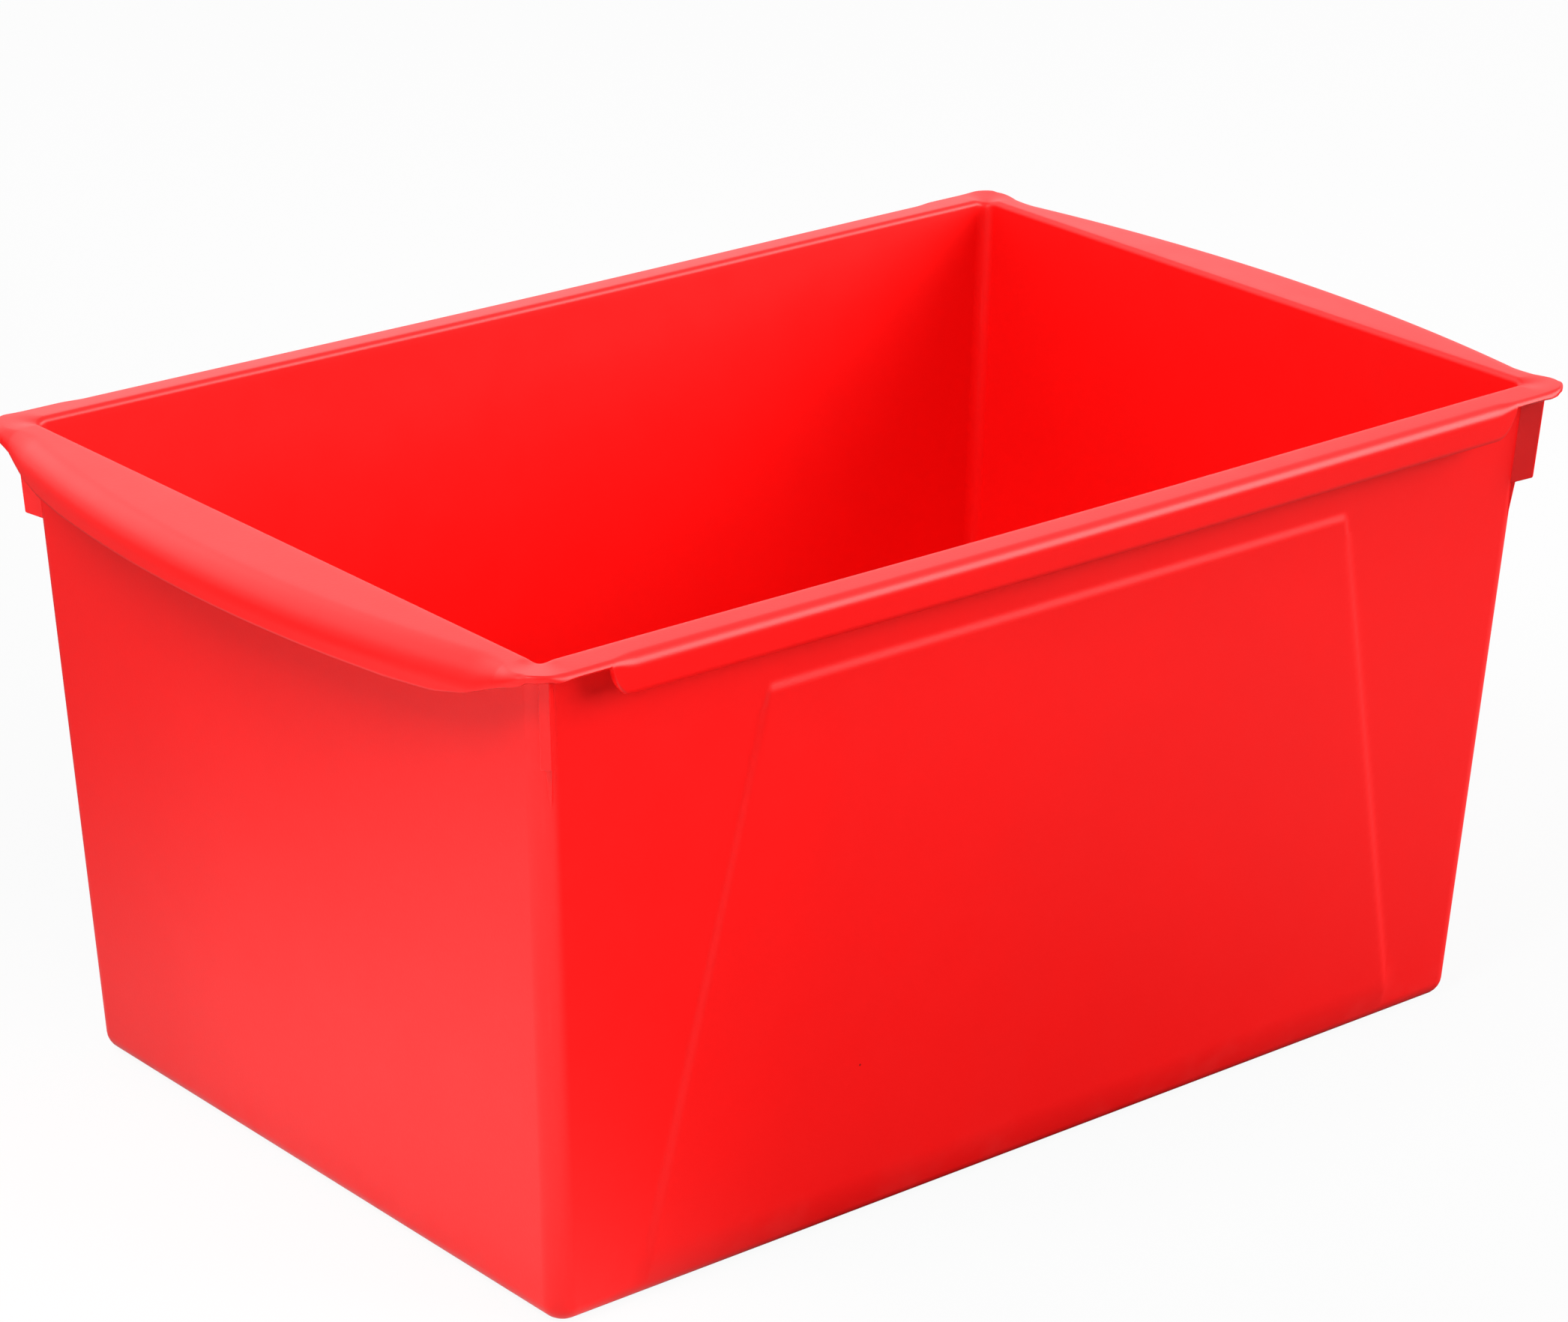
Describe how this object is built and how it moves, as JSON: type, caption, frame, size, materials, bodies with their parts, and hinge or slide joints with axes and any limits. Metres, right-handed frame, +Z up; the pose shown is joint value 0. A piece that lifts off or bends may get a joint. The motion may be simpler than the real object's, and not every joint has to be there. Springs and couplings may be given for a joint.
{
  "type": "storage bin",
  "caption": "Open-topped tapered plastic bin for art supplies or books, with a rolled rim, bowed end grips and ribbed corners, made to nest.",
  "frame": {"origin": "centre of the outline on the surface that the bin stands on", "axes": "+X along the bin's length, +Y across it, +Z up; the long side with the front rim faces -Y"},
  "size_m": [0.3728, 0.2348, 0.178],
  "materials": {
    "red_plastic": "satin"
  },
  "bodies": {
    "root": {"floor_pan": "red_plastic", "front_wall": "red_plastic", "back_wall": "red_plastic", "left_end_wall": "red_plastic", "right_end_wall": "red_plastic", "front_left_corner": "red_plastic", "front_right_corner": "red_plastic", "back_left_corner": "red_plastic", "back_right_corner": "red_plastic", "front_rim": "red_plastic", "back_rim": "red_plastic", "left_grip": "red_plastic", "right_grip": "red_plastic", "front_left_ear": "red_plastic", "front_right_ear": "red_plastic", "back_left_ear": "red_plastic", "back_right_ear": "red_plastic"}
  },
  "joints": []
}
